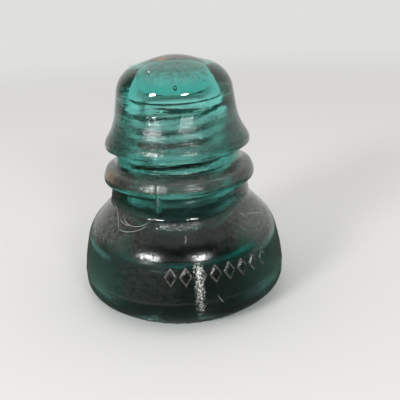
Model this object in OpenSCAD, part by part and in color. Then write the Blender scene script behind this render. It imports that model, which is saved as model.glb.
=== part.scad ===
// Pin-type glass line insulator: one press-moulded glass body with a threaded
// pinhole and a double petticoat. Millimetres. +Z is up along the axis of
// symmetry, the origin is where that axis meets the plane that the drip points
// stand on, and -Y is the marked front.

/* [Overall] */
// Height from the drip-point tips to the top of the crown
height = 100.9; // [98:0.1:105]
// Largest diameter, low on the outer skirt
skirt_d = 86.2; // [84:0.1:90]

/* [Crown] */
// Radius of the small flat at the very top
top_flat_r = 4; // [3:0.5:6]
// Radius where the dome and the side of the crown would meet
crown_r = 22.4; // [21:0.1:23]
// How far below the top they would meet
crown_drop = 5.3; // [5:0.1:5.6]
// Radius at the foot of the crown's side, where it flares into the ridge
crown_foot_r = 25.6; // [25:0.1:26.5]
// Height of that foot
crown_foot_z = 74.9; // [74:0.1:75.5]
// Rounding at the edge of the top flat, which makes the dome
dome_fillet = 26; // [15:1:26]
// Rounding between the dome and the side
crown_fillet = 12.6; // [8:0.1:12.6]
// Rounding of the flare at the foot
crown_foot_fillet = 21; // [10:1:21]

/* [Wire groove] */
// Radius of the groove's root, which the line wire bears on
groove_r = 26; // [25:0.1:26.5]
// Height of the root above the base, at its lower end
groove_z = 59; // [58.5:0.1:60]
// Radius of the ridge above the groove
upper_ridge_r = 30; // [29.5:0.1:31]
// Height of the upper ridge's underside
upper_ridge_z = 65.7; // [65:0.1:66]
// Thickness of the upper ridge at its edge
upper_lip = 1.9; // [1.5:0.1:2.2]
// Radius of the ridge below the groove
lower_ridge_r = 31.4; // [31:0.1:32]
// Height of the lower ridge's underside
lower_ridge_z = 51.7; // [51:0.1:52]
// Thickness of the lower ridge at its edge
lower_lip = 2.3; // [2:0.1:2.6]
// Height of the lower ridge's crest above its underside
crest_rise = 5.2; // [4.8:0.1:5.4]
// How far that crest is set in from the edge
crest_inset = 1.2; // [1:0.1:1.5]
// Radius of the neck just below the lower ridge
neck_r = 28; // [27.5:0.1:28.5]
// Radius of the neck at its foot, where the shoulder starts
neck_foot_r = 29.6; // [29:0.1:30]
// Height of that foot
neck_foot_z = 42.2; // [41.5:0.1:43]
// Rounding of the neck's foot
neck_fillet = 3; // [2:0.5:10]

/* [Outer skirt] */
// Radius where the slope of the shoulder meets the side
shoulder_r = 39.5; // [38.5:0.1:40]
// Height where they meet
shoulder_z = 32; // [31:0.1:33]
// Rounding of the shoulder
shoulder_fillet = 19; // [14:1:19]
// Height at which the side turns upright
side_z = 16.6; // [16:0.1:18]
// Rounding between the shoulder's side and the upright side
side_fillet = 46; // [20:1:46]
// Height at which the side turns in towards the rim
base_turn_z = 6.1; // [5.5:0.1:6.5]
// Rounding of that turn
base_fillet = 7.4; // [4:0.1:7.4]
// Radius of the rim's outer corner, above the drip points
rim_outer_r = 36.6; // [36:0.1:38]
// Radius of the rim's inner corner
rim_inner_r = 33.2; // [32.5:0.1:34]
// Rounding of both corners of the rim
rim_fillet = 1.4; // [0.8:0.1:1.5]

/* [Petticoat] */
// Height of the air gap's roof between the skirt and the petticoat
gap_roof_z = 24; // [21:0.5:26]
// Radius of the gap's outer corner at the roof
gap_outer_r = 32.6; // [32.3:0.1:33]
// Radius of the gap's inner corner at the roof
gap_inner_r = 27.2; // [26.8:0.1:27.4]
// How far the petticoat's foot stands above the drip points
petticoat_z = 13; // [10:0.5:15]
// Radius of the petticoat's foot
petticoat_r = 24.6; // [24:0.1:25]
// Rounding at the roof of the air gap
gap_fillet = 2.2; // [1:0.1:2.4]
// Rounding of the petticoat's foot on its outer side
foot_fillet = 2.4; // [1:0.1:2.8]
// Rounding of the petticoat's foot at the lead-in
lead_in_fillet = 1.2; // [0.5:0.1:1.6]

/* [Pinhole] */
// Diameter of the plain lead-in, which clears the shank of the pin
lead_in_d = 30.8; // [30.6:0.1:31.2]
// Length of the lead-in from the petticoat's foot
lead_in_length = 14; // [12:0.5:15]
// Height of the pinhole's closed end
pinhole_z = 86; // [84:0.5:87]
// Diameter over the thread crests at the closed end
crest_d = 24; // [23:0.1:24.5]
// Taper of the threaded length, in diameter for each unit of length
taper = 0.0625; // [0.05:0.0025:0.07]
// Pitch of the thread, four to the inch
pitch = 6.35; // [6:0.05:6.5]
// Depth of the thread
thread_depth = 1.4; // [1:0.1:1.5]
// Plain length between the closed end and the first turn
thread_start = 5; // [4:0.5:8]

/* [Mould details] */
// Number of drip points around the rim
drip_count = 48; // [24:2:60]
// Radius of the circle that the drip points stand on
drip_circle_r = 35; // [34.8:0.1:35.2]
// How far the drip points stand below the rim
drip_height = 0.9; // [0.5:0.1:1]
// Diameter of a drip point at its tip
drip_tip_d = 1.2; // [1:0.1:1.6]
// Diameter of a drip point inside the rim
drip_foot_d = 3; // [2:0.1:3]
// Angle of the mould seam from the front, in degrees; the other seam is opposite
seam_angle = -18; // [-60:1:60]
// How far the seams stand out
seam_height = 0.25; // [0.1:0.05:0.4]
// Height of the line that the mould's base ring leaves on the skirt
ring_line_z = 13.4; // [12:0.1:15]
// Number of raised lozenges in the row on the skirt
mark_count = 8; // [0:1:12]
// Angle of the first lozenge from the front, in degrees
mark_start = -8; // [-20:1:0]
// Angle between two lozenges, in degrees
mark_step = 8; // [7:0.5:10]
// Height of a lozenge
mark_h = 6.2; // [4:0.1:7]
// Width of a lozenge
mark_w = 4.2; // [3:0.1:4.5]
// How far the lozenges stand out
mark_relief = 0.6; // [0.3:0.1:0.8]

/* [Hidden] */

skirt_r = skirt_d / 2;
lead_in_r = lead_in_d / 2;
// Segments of a whole turn, and of each rounded corner
turn_steps = 96;
arc_steps = 8;
// The undersides of the ridges slope down towards the axis
upper_ridge_slope = 0.5;
lower_ridge_slope = 0.4;
upper_ridge_inset = 0.1;
side_draft = 0.1;
// Roundings of the two ridges and of the groove between them
upper_lip_fillet = 3.6;
upper_edge_fillet = 0.6;
groove_top_fillet = 1.4;
groove_foot_fillet = 1.8;
crest_fillet = 2.2;
lower_lip_fillet = 1.4;
lower_edge_fillet = 0.8;
neck_top_fillet = 1;
// The thread starts above a short step at the end of the lead-in
lead_in_step = 1;
thread_foot_z = petticoat_z + lead_in_length + lead_in_step;
thread_ledge = 0.3;
thread_run_in = 3;
thread_steps = 24;
rows_a_turn = 6;
end_rounding = 2.5;
end_steps = 3;
end_gap = 0.01;
// How deep the raised details sit in the body
drip_seat = 0.6;
seam_seat = 1;
ring_seat = 2;
mark_seat = 1.2;
// The seams stop this far below the top, and each takes up this many degrees
seam_top_drop = 4;
seam_width = 1;
// The base ring's line is this high on each side of its middle
ring_line_h = 0.6;
// Middle of the row of lozenges, and the slope of the side there in degrees
mark_z = 24;
mark_r = skirt_r - 1.9;
mark_draft = 14;

function unit(v) = v / norm(v);
function polar(angle) = [cos(angle), sin(angle)];
function heading(v) = atan2(v[1], v[0]);
function turned(angle) = angle > 180 ? angle - 360 : angle < -180 ? angle + 360 : angle;

// Points along the arc that rounds corner b of the path a, b, c
function corner(a, b, c, radius) =
    let (
        to_a = unit(a - b),
        to_c = unit(c - b),
        half = acos(to_a * to_c) / 2,
        centre = b + unit(to_a + to_c) * radius / sin(half),
        first = heading(b + to_a * radius / tan(half) - centre),
        last = heading(b + to_c * radius / tan(half) - centre)
    )
    [for (i = [0:arc_steps]) centre + radius * polar(first + turned(last - first) * i / arc_steps)];

function flat(p) = [p[0], p[1]];

// A path of [radius, height, rounding] with its corners rounded; both ends stay sharp
function rounded(path) = [
    for (i = [0:len(path) - 1])
        each i == 0 || i == len(path) - 1 || path[i][2] == 0
            ? [flat(path[i])]
            : corner(flat(path[i - 1]), flat(path[i]), flat(path[i + 1]), path[i][2])
];

// The outside of the glass, from the top of the crown to the rim
outer_path = [
    [0, height, 0],
    [top_flat_r, height, dome_fillet],
    [crown_r, height - crown_drop, crown_fillet],
    [crown_foot_r, crown_foot_z, crown_foot_fillet],
    [upper_ridge_r - upper_ridge_inset, upper_ridge_z + upper_lip, upper_lip_fillet],
    [upper_ridge_r, upper_ridge_z, upper_edge_fillet],
    [groove_r, upper_ridge_z - upper_ridge_slope, groove_top_fillet],
    [groove_r, groove_z, groove_foot_fillet],
    [lower_ridge_r - crest_inset, lower_ridge_z + crest_rise, crest_fillet],
    [lower_ridge_r, lower_ridge_z + lower_lip, lower_lip_fillet],
    [lower_ridge_r, lower_ridge_z, lower_edge_fillet],
    [neck_r, lower_ridge_z - lower_ridge_slope, neck_top_fillet],
    [neck_foot_r, neck_foot_z, neck_fillet],
    [shoulder_r, shoulder_z, shoulder_fillet],
    [skirt_r - side_draft, side_z, side_fillet],
    [skirt_r, base_turn_z, base_fillet],
    [rim_outer_r, drip_height, rim_fillet],
    [rim_inner_r, drip_height, 0],
];

// The underside of the glass, from the rim to the foot of the thread
inner_path = [
    [rim_outer_r, drip_height, 0],
    [rim_inner_r, drip_height, rim_fillet],
    [gap_outer_r, gap_roof_z, gap_fillet],
    [gap_inner_r, gap_roof_z, gap_fillet],
    [petticoat_r, petticoat_z, foot_fillet],
    [lead_in_r, petticoat_z, lead_in_fillet],
    [lead_in_r, petticoat_z + lead_in_length, 0],
    [crest_r(thread_foot_z) + thread_ledge, thread_foot_z, 0],
    [0, thread_foot_z, 0],
];

// Radius over the thread crests, which follows the taper of the pin
function crest_r(z) = crest_d / 2 + (pinhole_z - z) * taper / 2;

function all_but_last(points) = [for (i = [0:len(points) - 2]) points[i]];
function all_but_first(points) = [for (i = [1:len(points) - 1]) points[i]];
function shifted(points, out) = [for (p = points) [p[0] + out, p[1]]];
function reversed(points) = [for (i = [len(points) - 1:-1:0]) points[i]];

module pressed_shape() {
    rotate_extrude($fn = turn_steps)
        polygon(concat(all_but_last(rounded(outer_path)), all_but_first(rounded(inner_path))));
}

// Radius of the threaded wall: the crest, and a rounded groove that follows the helix
function wall_r(z, angle) =
    let (
        turn = (z - thread_foot_z) / pitch - angle / 360,
        run_in = min(z - thread_foot_z, pinhole_z - thread_start - z) / thread_run_in,
        groove = thread_depth * (1 - cos(360 * turn)) / 2,
        below_end = end_rounding - min(pinhole_z - z, end_rounding)
    )
    crest_r(z) + groove * max(0, min(1, run_in))
        - end_rounding + sqrt(end_rounding * end_rounding - below_end * below_end);

function ring(z) = [
    for (i = [0:thread_steps - 1])
        let (angle = i * 360 / thread_steps)
        [wall_r(z, angle) * cos(angle), wall_r(z, angle) * sin(angle), z]
];

// Faces of a stack of rings, closed at both ends
function stack_faces(rings) = concat(
    [[for (i = [0:thread_steps - 1]) i]],
    [for (row = [0:rings - 2], i = [0:thread_steps - 1])
        let (
            a = row * thread_steps + i,
            b = row * thread_steps + (i + 1) % thread_steps
        )
        each [[a, a + thread_steps, b], [a + thread_steps, b + thread_steps, b]]],
    [[for (i = [thread_steps - 1:-1:0]) (rings - 1) * thread_steps + i]]
);

// The space inside the threaded wall, from just under its foot to the closed end
module threaded_space() {
    heights = concat(
        [for (z = [thread_foot_z - lead_in_step:pitch / rows_a_turn:pinhole_z - end_rounding]) z],
        [for (i = [1:end_steps]) pinhole_z - end_rounding * (1 - sin(90 * i / end_steps)) - end_gap]
    );
    polyhedron(
        points = [for (z = heights) each ring(z)],
        faces = stack_faces(len(heights)),
        convexity = 10
    );
}

module drip_points() {
    for (i = [0:drip_count - 1])
        rotate([0, 0, i * 360 / drip_count])
            translate([0, -drip_circle_r, 0])
                cylinder(h = drip_height + drip_seat, d1 = drip_tip_d, d2 = drip_foot_d, $fn = 24);
}

// A thin raised line up the outside, at both halves of the mould
module mould_seams() {
    line = [for (p = rounded(outer_path)) if (p[1] > ring_line_z && p[1] < height - seam_top_drop) p];
    for (side = [0, 180])
        rotate([0, 0, side + seam_angle - 90 - seam_width / 2])
            rotate_extrude(angle = seam_width, $fn = turn_steps)
                polygon(concat(shifted(line, seam_height), reversed(shifted(line, -seam_seat))));
}

// The line where the side mould stood on its base ring
module ring_line() {
    translate([0, 0, ring_line_z])
        rotate_extrude($fn = turn_steps)
            polygon([
                [skirt_r - ring_seat, -ring_line_h],
                [skirt_r - side_draft, -ring_line_h],
                [skirt_r, 0],
                [skirt_r - ring_seat, ring_line_h]
            ]);
}

module lozenge() {
    rotate([90 - mark_draft, 0, 0])
        linear_extrude(mark_seat + mark_relief)
            polygon([[-mark_w / 2, 0], [0, -mark_h / 2], [mark_w / 2, 0], [0, mark_h / 2]]);
}

module mark_row() {
    if (mark_count > 0)
        for (i = [0:mark_count - 1])
            rotate([0, 0, mark_start + i * mark_step])
                translate([0, mark_seat - mark_r, mark_z])
                    lozenge();
}

module glass_body() {
    color([0.12, 0.48, 0.42])
        union() {
            difference() {
                pressed_shape();
                threaded_space();
            }
            drip_points();
            mould_seams();
            ring_line();
            mark_row();
        }
}

glass_body();
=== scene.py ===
import math

import bpy
import numpy as np
from mathutils import Matrix, Vector, noise


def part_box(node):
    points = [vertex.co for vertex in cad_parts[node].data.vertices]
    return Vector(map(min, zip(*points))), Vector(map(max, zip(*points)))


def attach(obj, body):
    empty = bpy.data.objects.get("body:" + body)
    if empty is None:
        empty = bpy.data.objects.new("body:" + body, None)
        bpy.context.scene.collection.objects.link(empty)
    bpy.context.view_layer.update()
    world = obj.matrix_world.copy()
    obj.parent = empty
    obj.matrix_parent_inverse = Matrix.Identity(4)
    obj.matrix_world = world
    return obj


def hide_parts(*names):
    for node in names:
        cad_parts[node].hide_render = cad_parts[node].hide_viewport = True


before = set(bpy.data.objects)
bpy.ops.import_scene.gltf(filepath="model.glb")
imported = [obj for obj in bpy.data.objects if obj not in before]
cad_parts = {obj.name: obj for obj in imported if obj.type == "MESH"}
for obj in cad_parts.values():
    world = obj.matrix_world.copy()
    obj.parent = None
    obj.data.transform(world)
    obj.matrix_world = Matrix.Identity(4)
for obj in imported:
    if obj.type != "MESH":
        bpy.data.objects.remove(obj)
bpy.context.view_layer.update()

# The glass is drawn in millimetres, like its design, and MM brings it into the frame's metres.
MM = 0.001
NODE = "glass_body"
top_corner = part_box(NODE)[1]
HEIGHT = top_corner[2] / MM
SKIRT_R = top_corner[0] / MM

# Radii and heights of the body's features
UPPER_RIDGE_R, UPPER_RIDGE_Z = 30.0, 65.7
LOWER_RIDGE_R, LOWER_RIDGE_Z = 31.4, 51.7
NECK_R, NECK_FOOT_R, NECK_FOOT_Z = 28.0, 29.6, 42.2
RIM_OUTER_R, RIM_INNER_R, DRIP_HEIGHT = 36.6, 33.2, 0.9
PETTICOAT_Z, LEAD_IN_R, LEAD_IN_LENGTH = 13.0, 15.4, 14.0
PINHOLE_Z, CREST_R, TAPER = 86.0, 12.0, 0.0625
PITCH, THREAD_DEPTH, THREAD_RUN_IN = 6.35, 1.4, 3.0
THREAD_FOOT_Z = PETTICOAT_Z + LEAD_IN_LENGTH + 1
THREAD_TOP_Z = PINHOLE_Z - 5
END_ROUNDING = 2.5
RING_LINE_Z = 13.4
DRIP_COUNT, DRIP_CIRCLE_R = 48, 35.0

# What goes round the body is placed by its azimuth: in degrees from the front, growing towards +X
SEAM_ANGLES = (-18, 162)
SEAM_W, SEAM_HEIGHT, SEAM_EXTRA = 0.3, 0.03, 0.12
BEAD_Z, BEAD_W, BEAD_H, BEAD_RELIEF = 47.5, 1.1, 2.2, 1.1
MARK_COUNT, MARK_START, MARK_STEP, MARK_Z = 8, -8, 8, 24
MARK_H, MARK_W, MARK_RELIEF = 6.2, 4.2, 0.6
CHIPS_AND_GLINTS_Z, CHIPS_AND_GLINTS_H = 40.3, 0.55
STREAK_AZIMUTH, STREAK_W = 7, 1.3

# The mesh has this many columns to a drip point, over the row of marks and elsewhere
FINE_COLUMNS, COARSE_COLUMNS = 20, 6
FINE_FROM, FINE_TO = -15, 60

# Section of the outside, from the top to the rim: radius, height and rounding of each corner
OUTER = [
    (0, HEIGHT, 0),
    (4, HEIGHT, 26),
    (22.4, HEIGHT - 5.3, 12.6),
    (25.6, 74.9, 21),
    (UPPER_RIDGE_R - 0.1, UPPER_RIDGE_Z + 1.9, 3.6),
    (UPPER_RIDGE_R, UPPER_RIDGE_Z, 0.6),
    (26, UPPER_RIDGE_Z - 0.5, 1.4),
    (26, 59, 1.8),
    (LOWER_RIDGE_R - 1.2, LOWER_RIDGE_Z + 5.2, 2.2),
    (LOWER_RIDGE_R, LOWER_RIDGE_Z + 2.3, 1.4),
    (LOWER_RIDGE_R, LOWER_RIDGE_Z, 0.8),
    (NECK_R, LOWER_RIDGE_Z - 0.4, 1),
    (NECK_FOOT_R, NECK_FOOT_Z, 3),
    (39.5, 32, 19),
    (SKIRT_R - 0.1, 16.6, 46),
    (SKIRT_R, 6.1, 7.4),
    (RIM_OUTER_R, DRIP_HEIGHT, 1.4),
    (RIM_INNER_R, DRIP_HEIGHT, 0),
]
# Section of the underside, from the rim to the foot of the thread
INNER = [
    (RIM_OUTER_R, DRIP_HEIGHT, 0),
    (RIM_INNER_R, DRIP_HEIGHT, 1.4),
    (32.6, 24, 2.2),
    (27.2, 24, 2.2),
    (24.6, PETTICOAT_Z, 2.4),
    (LEAD_IN_R, PETTICOAT_Z, 1.2),
    (LEAD_IN_R, PETTICOAT_Z + LEAD_IN_LENGTH, 0.3),
    (14.1, THREAD_FOOT_Z, 0.2),
    (13.8, THREAD_FOOT_Z, 0),
]


def unit(v):
    return v / np.linalg.norm(v)


def rounded(path, arc_step=0.7):
    """The corners of a section as points, each corner with its rounding; both ends stay sharp."""
    path = [(np.array(p[:2], float), p[2]) for p in path]
    points = [path[0][0]]
    for (a, _), (b, radius), (c, _) in zip(path, path[1:], path[2:]):
        if radius == 0:
            points.append(b)
            continue
        to_a, to_c = unit(a - b), unit(c - b)
        half = math.acos(float(np.clip(to_a @ to_c, -1, 1))) / 2
        centre = b + unit(to_a + to_c) * radius / math.sin(half)
        first = b + to_a * radius / math.tan(half) - centre
        last = b + to_c * radius / math.tan(half) - centre
        start = math.atan2(first[1], first[0])
        sweep = math.atan2(last[1], last[0]) - start
        sweep = (sweep + math.pi) % (2 * math.pi) - math.pi
        steps = max(3, math.ceil(abs(sweep) * radius / arc_step))
        for i in range(steps + 1):
            t = start + sweep * i / steps
            points.append(centre + radius * np.array([math.cos(t), math.sin(t)]))
    points.append(path[-1][0])
    return points


def spaced(points, step):
    """The same line with more points on it, none further apart than step gives for their height."""
    out = [points[0]]
    for a, b in zip(points, points[1:]):
        length = np.linalg.norm(b - a)
        if length < 1e-6:
            continue
        n = max(1, math.ceil(length / step((a[1] + b[1]) / 2)))
        out += [a + (b - a) * i / n for i in range(1, n + 1)]
    return np.array(out)


def normals(line):
    """Directions out of the glass along a section line."""
    t = np.gradient(line, axis=0)
    t /= np.linalg.norm(t, axis=1)[:, None]
    return np.stack([-t[:, 1], t[:, 0]], axis=1)


def smooth(edge0, edge1, x):
    """0 up to edge0 and 1 from edge1 on, with a smooth step between them."""
    t = np.clip((x - edge0) / (edge1 - edge0), 0, 1)
    return t * t * (3 - 2 * t)


def band(x, start, full, fade, end):
    """1 from full to fade, and smoothly down to 0 at start and at end."""
    return smooth(start, full, x) * smooth(end, fade, x)


def hill(x, middle, width):
    """1 in the middle, dying away smoothly to both sides."""
    return np.exp(-(((x - middle) / width) ** 2))


def wave(radius, angle, z, size, seed):
    """Smooth noise from -1 to 1 on the body's surface, with bumps about as wide as size."""
    shift = Vector((seed * 17.3, seed * 5.1, seed * 9.7))
    places = np.stack([radius * np.sin(angle), -radius * np.cos(angle), np.full_like(angle, z)], axis=1)
    return np.array([noise.noise(Vector(p) + shift) for p in places / size])


def columns():
    """Angles of the mesh's columns: finer over the row of marks and at the seams."""
    sector = 360 / DRIP_COUNT
    angles = []
    for k in range(-DRIP_COUNT // 2, DRIP_COUNT // 2):
        n = FINE_COLUMNS if FINE_FROM <= k * sector < FINE_TO else COARSE_COLUMNS
        angles += [k * sector + sector * i / n for i in range(n)]
    for seam in SEAM_ANGLES:
        near = [seam + d for d in (-0.9, -0.55, -0.3, 0, 0.3, 0.55, 0.9)]
        angles = [a for a in angles if abs(a - seam) > 1.25] + near
    angles.sort()
    if len(angles) % 2:  # the underside has half as many columns, so one goes from the plain right side
        plain_side = 100.3
        angles.remove(min(angles, key=lambda a: abs(a - plain_side)))
    return np.radians(np.array(angles))


# What the material reads at each point of the surface, each from 0 to about 1; the dust mask also carries
# painted highlights, the soot mask painted shade and the scuff mask painted glints
MASKS = ("dust", "rust", "soot", "scuff", "worn", "grit", "frost", "lines")


class Skin:
    """Rings of points joined into one closed surface, with one value of each mask a point."""

    def __init__(self):
        self.points, self.faces, self.last = [], [], None
        self.masks = {name: [] for name in MASKS}

    def ring(self, radius, angle, z, **masks):
        """Adds a ring of points, one at each angle, and joins it to the ring before it."""
        start = sum(len(p) for p in self.points)
        radius, z = np.broadcast_to(radius, angle.shape), np.broadcast_to(z, angle.shape)
        ring = np.stack([radius * np.sin(angle), -radius * np.cos(angle), z], axis=1)
        self.points.append(ring)
        for name, values in self.masks.items():
            values.append(np.broadcast_to(masks.get(name, 0.0), angle.shape))
        now = np.arange(start, start + len(angle))
        if self.last is not None:
            self.join(self.last, now)
        self.last = now

    def join(self, a, b):
        """Faces between two rings, where either may be one point and b may have half as many as a."""
        if len(a) == 1:
            self.faces += [(a[0], p, q) for p, q in zip(b, np.roll(b, -1))]
        elif len(b) == 1:
            self.faces += [(p, b[0], q) for p, q in zip(a, np.roll(a, -1))]
        elif len(a) == len(b):
            self.faces += list(zip(a, b, np.roll(b, -1), np.roll(a, -1)))
        else:  # two columns become one
            for k in range(len(b)):
                f0, f1, f2 = a[2 * k], a[2 * k + 1], a[(2 * k + 2) % len(a)]
                c0, c1 = b[k], b[(k + 1) % len(b)]
                self.faces += [(f0, c0, f1), (f1, c0, c1), (f1, c1, f2)]

    def add(self, points, faces):
        """Adds a closed shape of its own, clean all over."""
        start = sum(len(p) for p in self.points)
        self.points.append(points)
        for values in self.masks.values():
            values.append(np.zeros(len(points)))
        self.faces += [tuple(start + i for i in f) for f in faces]

    def mesh(self, name):
        """The whole surface in metres, with the masks as attributes of its points."""
        mesh = bpy.data.meshes.new(name)
        mesh.from_pydata(np.concatenate(self.points) * MM, [], self.faces)
        for mask, values in self.masks.items():
            layer = mesh.attributes.new(mask, "FLOAT", "POINT")
            layer.data.foreach_set("value", np.concatenate(values).astype(np.float32))
        mesh.polygons.foreach_set("use_smooth", [True] * len(mesh.polygons))
        mesh.validate()
        return mesh


def in_marks(radius, angle, z):
    """How far inside the nearest lozenge a place is: 0 on its outline, 1 in its middle."""
    inside = np.full_like(angle, -1.0)
    for i in range(MARK_COUNT):
        across = (angle - math.radians(MARK_START + i * MARK_STEP)) * radius
        lozenge = 1 - np.abs(across) / (MARK_W / 2) - abs(z - MARK_Z) / (MARK_H / 2)
        inside = np.maximum(inside, lozenge)
    return inside


def seams(radius, angle, z):
    """How far the two mould seams stand out, with a drawn-out bead under the lower ridge."""
    out = np.zeros_like(angle)
    if RING_LINE_Z < z < HEIGHT - 4:
        height = SEAM_HEIGHT + SEAM_EXTRA * (smooth(30, 26, z) + band(z, 51, 52, 57, 59))
        for seam in SEAM_ANGLES:
            across = (angle - math.radians(seam)) * radius
            out += height * hill(across, 0, SEAM_W)
    across = (angle - math.radians(SEAM_ANGLES[0])) * radius
    return out + BEAD_RELIEF * hill(across, 0, BEAD_W) * hill(z, BEAD_Z, BEAD_H)


def ring_line(radius, z):
    """The line round the skirt where the mould's base ring met its body."""
    return hill(z, RING_LINE_Z, 0.4) * (radius > 40)


def relief(radius, angle, z, inside):
    """How far the outside stands off its section: waves, lozenges, seams and the base ring's line."""
    out = -0.07 * (1 + wave(radius, angle, z, 17, 1)) * smooth(0, 6, radius)
    out -= 0.02 * (1 + wave(radius, angle, z, 5, 2))
    out += MARK_RELIEF * smooth(-0.04, 0.3, inside) + seams(radius, angle, z)
    out += 0.2 * ring_line(radius, z)
    if radius > SKIRT_R - 2 and z < RING_LINE_Z + 1:
        out = np.minimum(out, SKIRT_R - radius)
    return out


def row_step(z):
    """Distance between the mesh's rows: small over the marks, the base ring's line and the chafed line with
    its painted glints.
    """
    near = min(abs(z - MARK_Z) - 3, abs(z - RING_LINE_Z), abs(z - CHIPS_AND_GLINTS_Z)) < 1.2
    return 0.35 if near else 1.3


def sections():
    """The outside and the underside as lines of points, with their directions out of the glass."""
    line = spaced(rounded(OUTER)[:-1] + rounded(INNER)[1:], row_step)
    split = next(i for i, (r, z) in enumerate(line) if z < DRIP_HEIGHT + 0.01 and r < DRIP_CIRCLE_R)
    rows = list(zip(line, normals(line)))
    return rows[1:split], rows[split:]


def dust_at(azimuth, z, up):
    """How much dust a place holds: most on the ridges, the very top and the shoulder but for its front."""
    ridges = 0.3 * band(z, 66, 68.5, 70, 76) + 0.65 * band(z, 52, 53.5, 57, 60)
    front = hill(azimuth, 0, 42)
    back = smooth(55, 150, np.abs(azimuth))
    shoulder = 0.95 * band(z, 27, 34, 43, 47) * (1 - front) * (1 - 0.5 * back)
    top = 0.14 * smooth(76, 84, z) + 0.12 * smooth(92, 97, z) + 0.7 * smooth(98.8, 100.4, z)
    side = (0.15 * back + 0.16 * hill(azimuth, -22, 28)) * band(z, 8, 16, 28, 34)
    return (ridges + shoulder + top) * (0.4 + 0.6 * max(up, 0)) + side


def rust_at(azimuth, z):
    """How brown the dust is: a patch on the left of the crown's top, and the left of the lower ridge."""
    crown = hill(azimuth, -38, 28) * band(z, 99.2, 100, 100.5, 100.75)
    ridge = hill(azimuth, -68, 20) * band(z, 53, 55, 57, 59)
    return crown + 0.6 * ridge


def soot_at(azimuth, z):
    """Painted shade: a dark film on the left and right of the upper ridge and the foot of the crown,
    darkening their sides.
    """
    return 0.11 * hill(np.abs(azimuth), 62, 26) * band(z, 64, 67, 76, 84)


def glint_streak(radius, angle, z):
    """Painted highlight: a streak of white specks down the front of the skirt, standing for a lamp's
    reflection broken up by the rough glass.
    """
    across = (angle - math.radians(STREAK_AZIMUTH)) * radius
    return hill(across, 0, STREAK_W) * band(z, 7, 14, 26, 32) * (radius > 35)


def chafed_line_and_glints(azimuth, z):
    """A broken line of tiny chips round the front of the shoulder's top, painted densest in two places as
    the lamps' glints.
    """
    dense = hill(azimuth, -14, 3) + 0.7 * hill(azimuth, 10, 2)
    return hill(z, CHIPS_AND_GLINTS_Z, CHIPS_AND_GLINTS_H) * band(azimuth, -21, -16, 13, 17) * (0.4 + 0.8 * dense)


def worn_at(z):
    """How weathered the surface is: little on the crown, most on the ridges and the neck."""
    below_crown = smooth(84, 76, z) * (1 - 0.55 * smooth(40, 34, z))
    return 0.12 + 0.88 * below_crown + 0.7 * band(z, 66, 69, 77, 82)


def grit_at(z):
    """How chafed the top of the lower ridge is."""
    return 0.4 * band(z, 52, 53.5, 57, 59)


def frost_at(z):
    """How dull the gloss is where the shoulder turns down into the skirt."""
    return 0.3 * band(z, 18, 22, 33, 38)


def lines_at(z):
    """How plainly the mould's level lines show: most between the neck and the crown, hardly above."""
    return 0.1 + 0.9 * band(z, 44, 48, 79, 84) + 0.4 * smooth(32, 24, z)


def outside(skin, rows, angle):
    """The crown, the ridges, the neck, the shoulder and the skirt, from the top down to the rim."""
    azimuth = np.degrees(angle)
    skin.ring(0, np.zeros(1), HEIGHT)
    for (r, z), (nr, nz) in rows:
        inside = in_marks(r, angle, z)
        out = relief(r, angle, z, inside)
        dz = drip(r, angle) if z < DRIP_HEIGHT + 0.5 else 0
        # Painted highlights: pale dust round each lozenge's edge and along the base ring's line stands for
        # the light these raised edges catch
        outline_highlight = 0.75 * band(inside, -0.3, -0.12, 0.06, 0.22)
        skin.ring(
            r + out * nr,
            angle,
            z + out * nz - dz,
            dust=dust_at(azimuth, z, nz) + outline_highlight + 0.22 * ring_line(r, z),
            rust=rust_at(azimuth, z),
            soot=soot_at(azimuth, z),
            scuff=glint_streak(r, angle, z) + chafed_line_and_glints(azimuth, z),
            worn=worn_at(z),
            grit=grit_at(z),
            frost=frost_at(z),
            lines=lines_at(z),
        )


def drip(r, angle):
    """How far the drip points hang below the rim."""
    sector = 2 * math.pi / DRIP_COUNT
    across = (np.remainder(angle + sector / 2, sector) - sector / 2) * DRIP_CIRCLE_R
    away = np.hypot(across, r - DRIP_CIRCLE_R)
    return DRIP_HEIGHT * (1 - smooth(0.45, 1.5, away))


def underside(skin, rows, angle):
    """The rim, the air gap, the petticoat and the lead-in; past the rim with every second column."""
    for (r, z), (nr, nz) in rows:
        on_rim = z < 3 and r > 30
        on_skirt = r > 31.5
        here = angle if on_rim else angle[::2]
        out = -0.1 * (1 + wave(r, here, z, 14, 3)) - 0.04 * (1 + wave(r, here, z, 4, 4))
        out *= smooth(DRIP_HEIGHT, DRIP_HEIGHT + 2, z)
        dz = drip(r, here) if z < DRIP_HEIGHT + 0.5 else 0
        # Painted shade, partly grime too: a dark film over the underside darkens the hollows under the
        # skirt, more on the right of the skirt's inside and less towards the rim
        soot = 0.7
        if on_skirt:
            soot = (0.42 + 0.12 * np.cos(here - math.radians(70))) * smooth(1, 9, z)
        skin.ring(
            r + out * nr, here, z + out * nz - dz, soot=soot, worn=0.6, frost=0.35 * on_skirt, lines=0.5
        )


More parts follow.
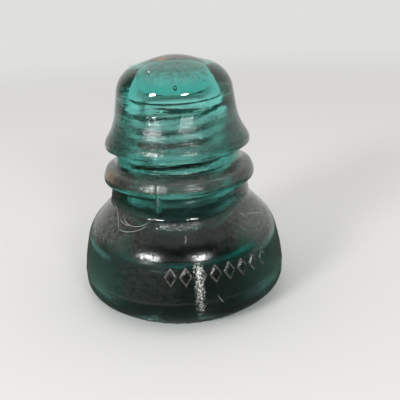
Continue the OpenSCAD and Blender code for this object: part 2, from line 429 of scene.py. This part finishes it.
def thread_r(z, angle):
    """Radius of the threaded wall, with the unevenness of a pressed thread."""
    turn = (z - THREAD_FOOT_Z) / PITCH - (angle - math.pi / 2) / (2 * math.pi)
    turn = turn + 0.05 * wave(CREST_R, angle, z, 9, 5)
    depth = np.clip(min(z - THREAD_FOOT_Z, THREAD_TOP_Z - z) / THREAD_RUN_IN, 0, 1)
    # Past its last full turn the thread goes on faintly, nearly to the closed end
    depth = max(depth, 0.22 * smooth(PINHOLE_Z, PINHOLE_Z - 2.5, z) * (z > 60))
    groove = THREAD_DEPTH * (1 - np.cos(2 * math.pi * turn)) / 2
    below = END_ROUNDING - min(PINHOLE_Z - z, END_ROUNDING)
    crest = CREST_R + (PINHOLE_Z - z) * TAPER / 2
    return crest + groove * depth - END_ROUNDING + math.sqrt(END_ROUNDING**2 - below**2)


def pressed_roughness(z, angle):
    """How far the threaded wall is pushed out by dents drawn out round the hole."""
    dents = 0.16 * (1 + wave(CREST_R, angle, z * 6, 10, 6))
    dents += 0.06 * (1 + wave(CREST_R, angle, z * 4, 4, 7))
    return dents * min(1, (PINHOLE_Z - z) / 5)


def threaded_wall(skin, angle):
    """The thread and the closed end of the pinhole."""
    row, end_rows = 0.3, 6
    heights = list(np.arange(THREAD_FOOT_Z + row, PINHOLE_Z - END_ROUNDING, row))
    for i in range(end_rows):
        heights.append(PINHOLE_Z - END_ROUNDING * (1 - math.sin(math.radians(90 * i / end_rows))))
    for z in heights:
        radius = thread_r(z, angle) + pressed_roughness(z, angle)
        soot = 0.028 * band(z, 58, 64, 76, 84) + 0.2 * smooth(46, 38, z)
        skin.ring(radius, angle, z, soot=soot, worn=0.4, frost=smooth(58, 48, z))
    for share in (1.0, 0.75, 0.5, 0.25):
        skin.ring((CREST_R - END_ROUNDING) * share, angle, PINHOLE_Z - 0.02, worn=0.2)
    skin.ring(0, np.zeros(1), PINHOLE_Z)


def bubble(skin, azimuth, radius, z, size):
    """A closed pocket of air, drawn out a little along the way the glass was pressed."""
    rows, around = 8, 12
    a = math.radians(azimuth)
    centre = np.array([radius * math.sin(a), -radius * math.cos(a), z])
    stretch = np.array([1, 1, 1.35])
    points = [centre + (0, 0, size * stretch[2])]
    for i in range(1, rows):
        t = math.pi * i / rows
        for j in range(around):
            u = 2 * math.pi * j / around
            way = np.array([math.sin(t) * math.sin(u), -math.sin(t) * math.cos(u), math.cos(t)])
            points.append(centre + way * size * stretch)
    points.append(centre - (0, 0, size * stretch[2]))
    faces = []
    for j in range(around):
        k = (j + 1) % around
        faces.append((0, 1 + k, 1 + j))
        faces.append((len(points) - 1, 1 + (rows - 2) * around + j, 1 + (rows - 2) * around + k))
        for i in range(rows - 2):
            a0, b0 = 1 + i * around, 1 + (i + 1) * around
            faces.append((a0 + j, a0 + k, b0 + k, b0 + j))
    skin.add(np.array(points), faces)


# The air bubbles in the glass: azimuth, distance from the axis, height and radius
BUBBLES = [
    (0.7, 21.4, 91.2, 0.75),
    (-31.7, 17.6, 96.4, 0.6),
    (-29, 18.4, 95.6, 0.35),
    (31.8, 20.8, 93.1, 0.4),
    (22, 19.5, 95.0, 0.3),
    (14, 18.0, 88.5, 0.3),
    (75, 19.0, 93.5, 0.4),
    (128, 20.2, 91.0, 0.5),
    (176, 18.4, 95.5, 0.4),
    (-140, 20.8, 90.5, 0.45),
    (-96, 17.0, 97.0, 0.35),
    (40, 22.6, 78.5, 0.35),
    (-68, 23.0, 61.5, 0.4),
    (150, 23.2, 70.0, 0.4),
    (-120, 27.5, 42.0, 0.5),
    (105, 35.0, 31.0, 0.55),
    (-78, 36.5, 28.0, 0.45),
    (-160, 38.8, 19.0, 0.5),
]


def node(tree, kind, **inputs):
    """A shader node with its settings and inputs; i0 is its first input, and a socket becomes a link."""
    made = tree.nodes.new(kind)
    for key, value in inputs.items():
        name = key.replace("_", " ")
        if hasattr(made, key) and name not in made.inputs:
            setattr(made, key, value)
            continue
        socket = made.inputs[int(key[1:])] if key[0] == "i" and key[1:].isdigit() else made.inputs[name]
        if isinstance(value, bpy.types.NodeSocket):
            tree.links.new(value, socket)
        else:
            socket.default_value = value
    return made


def math_node(tree, operation, a, b=0.0, c=0.0, clamp=False):
    """The result of one sum on sockets or numbers."""
    return node(tree, "ShaderNodeMath", operation=operation, i0=a, i1=b, i2=c, use_clamp=clamp).outputs[0]


def mix_colour(tree, share, a, b):
    """Colour a where share is 0, colour b where it is 1."""
    made = tree.nodes.new("ShaderNodeMix")
    made.data_type = "RGBA"
    for socket, value in ((made.inputs[0], share), (made.inputs[6], a), (made.inputs[7], b)):
        if isinstance(value, bpy.types.NodeSocket):
            tree.links.new(value, socket)
        else:
            socket.default_value = value
    return made.outputs[2]


def ramp(tree, value, low_at, high_at):
    """0 below low_at, 1 above high_at."""
    return node(
        tree, "ShaderNodeMapRange", interpolation_type="SMOOTHSTEP", Value=value,
        From_Min=low_at, From_Max=high_at,
    ).outputs[0]


def pattern(tree, where, scale, detail, rough):
    """Smooth noise around 0.5, with about scale bumps to a metre."""
    return node(
        tree, "ShaderNodeTexNoise", Vector=where, Scale=scale, Detail=detail, Roughness=rough
    ).outputs["Fac"]


# Hairline scratches on the shoulder and the skirt: azimuth and height of one end, the middle and the other
SCRATCHES = [
    ((-47.5, 37.5), (-35.5, 38), (-25.5, 40.5)),
    ((-51.5, 40.5), (-46, 39.5), (-40, 39.5)),
    ((-73, 44.5), (-58.5, 41.5), (-48, 37.5)),
    ((-51.5, 42.5), (-38, 39.5), (-24, 42)),
    ((52, 39.5), (62.5, 38), (71.5, 36)),
    ((47.5, 40.5), (49.5, 39.5), (51, 38.5)),
    ((0.5, 35.5), (1.5, 36.5), (1, 38)),
    ((16, 15.5), (17.5, 13.5), (19, 12)),
]
STRAIGHTEST_R = 60


def on_outside(rows, azimuth, z):
    """A place on the body below the lower ridge, and the direction out of the glass there."""
    below = [(r, height, nr, nz) for (r, height), (nr, nz) in reversed(rows) if height < LOWER_RIDGE_Z - 2]
    radii, heights, across, up = np.array(below).T
    a = math.radians(azimuth)
    away = np.array([math.sin(a), -math.cos(a), 0])
    place = away * np.interp(z, heights, radii) + (0, 0, z)
    return place, unit(away * np.interp(z, heights, across) + (0, 0, np.interp(z, heights, up)))


def arc_through(rows, places):
    """The ball that cuts the outside along an arc through three places, and where the arc lies.

    The ball's centre is in the plane that touches the glass at the arc's middle, so it cuts straight in.
    """
    (a, _), (b, out), (c, _) = (on_outside(rows, *place) for place in places)
    along = unit(c - a - ((c - a) @ out) * out)
    plane = np.stack([along, np.cross(out, along)])
    flat_a, flat_c = plane @ (a - b), plane @ (c - b)
    centre = np.linalg.solve(2 * np.stack([flat_a, flat_c]), [flat_a @ flat_a, flat_c @ flat_c]) @ plane
    radius = min(np.linalg.norm(centre), STRAIGHTEST_R)
    return b + unit(centre) * radius, radius, (a + c) / 2, np.linalg.norm(c - a) / 2


def distance(tree, where, place):
    """Distance in metres from a place that is given in millimetres."""
    place = tuple(c * MM for c in place)
    return node(tree, "ShaderNodeVectorMath", operation="DISTANCE", i0=where, i1=place).outputs["Value"]


def scratch(tree, where, centre, radius, middle, reach):
    """1 on a hairline where the ball cuts the surface within reach of the middle, 0 away from it."""
    off = math_node(tree, "SUBTRACT", distance(tree, where, centre), radius * MM)
    hair = ramp(tree, math_node(tree, "ABSOLUTE", off), 0.00016, 0.00005)
    near = ramp(tree, distance(tree, where, middle), reach * MM * 1.1, reach * MM * 0.7)
    return math_node(tree, "MULTIPLY", hair, near)


# Colours of the surface's film; the dust colour also paints highlights on edges, the soot colour paints
# shade and the chip colour paints glints
DUST_AND_HIGHLIGHT_COLOUR = (0.36, 0.34, 0.31, 1)
RUST_COLOUR = (0.52, 0.33, 0.17, 1)
SOOT_AND_SHADE_COLOUR = (0.02, 0.02, 0.02, 1)
CHIP_AND_GLINT_COLOUR = (0.8, 0.82, 0.78, 1)
CLEAN_COLOUR = (0.97, 0.99, 0.98, 1)


def chips_and_glints(tree, where, mask, arcs):
    """Share of the surface that is chipped and scratched, and painted white as glints: sharp grains in the
    mask, and the hairlines.
    """
    grains = pattern(tree, where, 2200, 2, 0.5)
    grains = math_node(tree, "MULTIPLY_ADD", mask, 0.14, grains)
    share = math_node(tree, "MULTIPLY", ramp(tree, grains, 0.64, 0.7), ramp(tree, mask, 0.03, 0.1))
    for arc in arcs:
        share = math_node(tree, "MULTIPLY_ADD", scratch(tree, where, *arc), 0.35, share, clamp=True)
    return share


def dirt_and_painted_light(tree, where, masks, arcs):
    """Share of the surface that isn't bare glass, and the colour of what covers it: dust, rust, soot and
    chips, with painted highlights, painted shade and painted glints among them.
    """
    blotches = ramp(tree, pattern(tree, where, 700, 6, 0.75), 0.15, 0.8)
    dust = math_node(tree, "MULTIPLY", masks["dust"], blotches)
    dust = math_node(tree, "MULTIPLY_ADD", dust, 0.55, -0.03, clamp=True)
    stain = math_node(tree, "MULTIPLY", blotches, 0.7)
    stain = math_node(tree, "MULTIPLY", masks["rust"], stain, clamp=True)
    dust = math_node(tree, "MAXIMUM", dust, stain)
    smudges = ramp(tree, pattern(tree, where, 60, 4, 0.6), 0.1, 0.6)
    smudges = math_node(tree, "MULTIPLY_ADD", smudges, 0.55, 0.25)
    soot = math_node(tree, "MULTIPLY", masks["soot"], smudges, clamp=True)
    scuff = chips_and_glints(tree, where, masks["scuff"], arcs)
    film = math_node(tree, "MAXIMUM", math_node(tree, "MAXIMUM", dust, soot), scuff)
    colour = mix_colour(tree, ramp(tree, masks["rust"], 0.1, 0.8), DUST_AND_HIGHLIGHT_COLOUR, RUST_COLOUR)
    colour = mix_colour(tree, ramp(tree, soot, 0.0, 0.2), colour, SOOT_AND_SHADE_COLOUR)
    colour = mix_colour(tree, ramp(tree, scuff, 0.0, 0.2), colour, CHIP_AND_GLINT_COLOUR)
    colour = mix_colour(tree, ramp(tree, film, 0.0, 0.05), CLEAN_COLOUR, colour)
    return film, colour


def unevenness(tree, where, masks):
    """The surface's direction with the mould's level lines, an orange peel and a fine grit."""
    level = node(tree, "ShaderNodeMapping", Vector=where, Scale=(110, 110, 800)).outputs[0]
    level = math_node(tree, "MULTIPLY", pattern(tree, level, 1, 3, 0.5), masks["lines"])
    peel = math_node(tree, "MULTIPLY", pattern(tree, where, 420, 3, 0.55), masks["worn"])
    fine = math_node(tree, "MULTIPLY_ADD", masks["grit"], 4, masks["worn"])
    fine = math_node(tree, "MULTIPLY", pattern(tree, where, 1900, 3, 0.6), fine)
    bump = node(tree, "ShaderNodeBump", Strength=0.6, Distance=0.0005, Height=level)
    bump = node(tree, "ShaderNodeBump", Strength=0.5, Distance=0.0004, Height=peel, Normal=bump.outputs[0])
    bump = node(tree, "ShaderNodeBump", Strength=0.3, Distance=0.00012, Height=fine, Normal=bump.outputs[0])
    return bump.outputs[0]


def aqua_glass(arcs):
    """Glass that is coloured by its depth, with what lies on its surface, painted shade, highlights and
    glints among it, and arcs scratched into it.
    """
    material = bpy.data.materials.new("aqua_glass")
    material.use_nodes = True
    tree = material.node_tree
    tree.nodes.clear()
    where = node(tree, "ShaderNodeTexCoord").outputs["Object"]
    masks = {
        name: node(tree, "ShaderNodeAttribute", attribute_name=name).outputs["Fac"]
        for name in MASKS
    }
    film, colour = dirt_and_painted_light(tree, where, masks, arcs)
    roughness = math_node(tree, "MULTIPLY", masks["worn"], 0.1)
    roughness = math_node(tree, "ADD", roughness, math_node(tree, "MULTIPLY", masks["frost"], 0.4))
    roughness = math_node(tree, "ADD", roughness, math_node(tree, "MULTIPLY", film, 0.5), clamp=True)
    surface = node(
        tree, "ShaderNodeBsdfPrincipled", Base_Color=colour, Roughness=roughness, IOR=1.52,
        Transmission_Weight=math_node(tree, "SUBTRACT", 1.0, film), Normal=unevenness(tree, where, masks),
        Sheen_Weight=0.05, Sheen_Roughness=0.45, Sheen_Tint=(0.8, 0.78, 0.74, 1),
    )
    depth = node(tree, "ShaderNodeVolumeAbsorption", Color=(0.055, 0.80, 0.737, 1), Density=55.0)
    out = node(tree, "ShaderNodeOutputMaterial")
    tree.links.new(surface.outputs[0], out.inputs["Surface"])
    tree.links.new(depth.outputs[0], out.inputs["Volume"])
    return material


def glass():
    """The whole insulator as one closed skin, with its bubbles."""
    skin = Skin()
    angle = columns()
    outer_rows, under_rows = sections()
    outside(skin, outer_rows, angle)
    underside(skin, under_rows, angle)
    threaded_wall(skin, angle[::2])
    for place in BUBBLES:
        bubble(skin, *place)
    piece = bpy.data.objects.new("glass_skin", skin.mesh("glass_skin"))
    bpy.context.collection.objects.link(piece)
    arcs = [arc_through(outer_rows, places) for places in SCRATCHES]
    piece.data.materials.append(aqua_glass(arcs))
    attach(piece, "root")
    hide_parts(NODE)


# The way to the pale wall, behind the object and a little to its right
WALL_WAY = (0.363, 0.932, 0)
BACKDROP = (0.74, 0.74, 0.73, 1)
# The floor as the camera sees it
PAPER_SEEN = (0.62, 0.61, 0.6, 1)
# The floor as the glass shows it: under the object, where it is painted dark as a shadow, round it, and
# further away
SHADOW_UNDER_COLOUR = (0.03, 0.028, 0.026, 1)
CARD_COLOUR = (0.15, 0.125, 0.105, 1)
BEYOND_COLOUR = (0.32, 0.30, 0.28, 1)
# The floor as the glass mirrors it
MIRRORED_COLOUR = (0.07, 0.057, 0.045, 1)
# The floor's pale part towards the wall, both through the glass and mirrored
PAPER_COLOUR = (0.74, 0.73, 0.71, 1)
# The room as the glass shows it: away from the wall, the wall, and overhead
ROOM_COLOUR, WALL_COLOUR, ABOVE_COLOUR = (0.18, 0.18, 0.19, 1), (0.67, 0.67, 0.66, 1), (0.38, 0.38, 0.38, 1)
# The same three as the glass mirrors them
ROOM_MIRRORED, WALL_MIRRORED, ABOVE_MIRRORED = (0.05, 0.05, 0.055, 1), (0.75, 0.75, 0.74, 1), (1, 1, 1, 1)
# The soft light that falls on the floor and on dust
FILL_COLOUR = (0.95, 0.95, 0.95, 1)


def mirrored_only(tree, path):
    """1 on a ray that was mirrored by a surface and didn't pass through it."""
    direct = math_node(tree, "SUBTRACT", 1.0, path["Is Transmission Ray"])
    return math_node(tree, "MULTIPLY", path["Is Glossy Ray"], direct)


def towards_wall(tree, where):
    """How far a place or a direction lies towards the wall."""
    return node(
        tree, "ShaderNodeVectorMath", operation="DOT_PRODUCT", i0=where, i1=WALL_WAY
    ).outputs["Value"]


def floor_paper():
    """A matt pale floor that gives the glass a dark ground to show, with a painted shadow under the object.
    """
    material = bpy.data.materials.new("floor_paper")
    material.use_nodes = True
    tree = material.node_tree
    surface = tree.nodes["Principled BSDF"]
    surface.inputs["Roughness"].default_value = 0.9
    surface.inputs["Specular IOR Level"].default_value = 0
    where = node(tree, "ShaderNodeTexCoord").outputs["Object"]
    away = node(tree, "ShaderNodeVectorMath", operation="LENGTH", i0=where).outputs["Value"]
    path = node(tree, "ShaderNodeLightPath").outputs
    # Painted shadow: through the glass, the floor under the object shows dark
    colour = mix_colour(tree, ramp(tree, away, 0.04, 0.055), SHADOW_UNDER_COLOUR, CARD_COLOUR)
    colour = mix_colour(tree, ramp(tree, away, 0.25, 0.4), colour, BEYOND_COLOUR)
    colour = mix_colour(tree, mirrored_only(tree, path), colour, MIRRORED_COLOUR)
    colour = mix_colour(tree, ramp(tree, towards_wall(tree, where), 0.105, 0.145), colour, PAPER_COLOUR)
    colour = mix_colour(tree, path["Is Camera Ray"], colour, PAPER_SEEN)
    tree.links.new(colour, surface.inputs["Base Color"])
    # Far off, the floor looks the same as the backdrop, so that no edge shows between them
    far = math_node(tree, "MULTIPLY", ramp(tree, away, 0.35, 0.9), path["Is Camera Ray"])
    haze = node(tree, "ShaderNodeEmission", Color=BACKDROP)
    seen = node(tree, "ShaderNodeMixShader", i0=far, i1=surface.outputs[0], i2=haze.outputs[0])
    tree.links.new(seen.outputs[0], tree.nodes["Material Output"].inputs["Surface"])
    return material


def studio_floor():
    half = 12.0
    corners = [(-half, -half, 0), (half, -half, 0), (half, half, 0), (-half, half, 0)]
    mesh = bpy.data.meshes.new("floor")
    mesh.from_pydata(corners, [], [(0, 1, 2, 3)])
    mesh.materials.append(floor_paper())
    floor = bpy.data.objects.new("floor", mesh)
    bpy.context.collection.objects.link(floor)


def lamp(name, azimuth, elevation, distance, size, glow):
    """An oval lamp of the given size that faces the middle of the object."""
    a, e = math.radians(azimuth), math.radians(elevation)
    way = Vector((math.sin(a) * math.cos(e), -math.cos(a) * math.cos(e), math.sin(e)))
    data = bpy.data.lights.new(name, "AREA")
    data.shape, data.size, data.size_y = "ELLIPSE", *size
    data.energy = glow * math.pi * math.pi * size[0] * size[1] / 4
    made = bpy.data.objects.new(name, data)
    made.location = Vector((0, 0, HEIGHT * MM / 2)) + way * distance
    made.rotation_mode = "QUATERNION"
    made.rotation_quaternion = way.to_track_quat("Z", "Y")
    bpy.context.collection.objects.link(made)


def room():
    """Light from all round: a pale wall behind, a darker room in front, and a ceiling."""
    world = bpy.data.worlds.new("studio")
    bpy.context.scene.world = world
    world.use_nodes = True
    tree = world.node_tree
    tree.nodes.clear()
    way = node(tree, "ShaderNodeTexCoord").outputs["Generated"]
    up = node(tree, "ShaderNodeSeparateXYZ", Vector=way).outputs["Z"]
    facing = towards_wall(tree, way)
    through = mix_colour(tree, ramp(tree, facing, -0.1, 0.4), ROOM_COLOUR, WALL_COLOUR)
    through = mix_colour(tree, ramp(tree, up, 0.35, 0.8), through, ABOVE_COLOUR)
    mirrored = mix_colour(tree, ramp(tree, facing, 0.1, 0.6), ROOM_MIRRORED, WALL_MIRRORED)
    mirrored = mix_colour(tree, ramp(tree, up, 0.65, 0.95), mirrored, ABOVE_MIRRORED)
    path = node(tree, "ShaderNodeLightPath").outputs
    colour = mix_colour(tree, mirrored_only(tree, path), through, mirrored)
    colour = mix_colour(tree, path["Is Diffuse Ray"], colour, FILL_COLOUR)
    colour = mix_colour(tree, path["Is Camera Ray"], colour, BACKDROP)
    light = node(tree, "ShaderNodeBackground", Color=colour, Strength=1.0)
    out = node(tree, "ShaderNodeOutputWorld")
    tree.links.new(light.outputs[0], out.inputs["Surface"])


def studio_light():
    lamp("lamp_left", azimuth=-42, elevation=22, distance=1.1, size=(0.34, 0.18), glow=50)
    lamp("lamp_right", azimuth=19, elevation=22, distance=1.1, size=(0.28, 0.13), glow=50)
    lamp("lamp_strip", azimuth=-12, elevation=22, distance=1.15, size=(1.7, 0.2), glow=0.45)
    room()


def camera():
    """A camera that looks down on the object's front from close by, with a slight roll."""
    pitch, yaw, roll = math.radians(20.705), math.radians(1.927), math.radians(-2.763)
    forward = Vector((math.sin(yaw) * math.cos(pitch), math.cos(yaw) * math.cos(pitch), -math.sin(pitch)))
    right = forward.cross(Vector((0, 0, 1))).normalized()
    up = right.cross(forward)
    right_rolled = right * math.cos(roll) + up * math.sin(roll)
    up_rolled = up * math.cos(roll) - right * math.sin(roll)
    place = (0, -0.2415, 0.1303)
    data = bpy.data.cameras.new("camera")
    data.lens, data.sensor_width = 54, 36
    made = bpy.data.objects.new("camera", data)
    turn = Matrix((right_rolled, up_rolled, -forward)).transposed()
    made.matrix_world = Matrix.Translation(place) @ turn.to_4x4()
    bpy.context.collection.objects.link(made)
    bpy.context.scene.camera = made


glass()
studio_floor()
studio_light()
camera()
bpy.context.scene.view_settings.view_transform = "Standard"
# Light crosses the glass many times before it leaves it
bpy.context.scene.cycles.max_bounces = 24
bpy.context.scene.cycles.transmission_bounces = 24
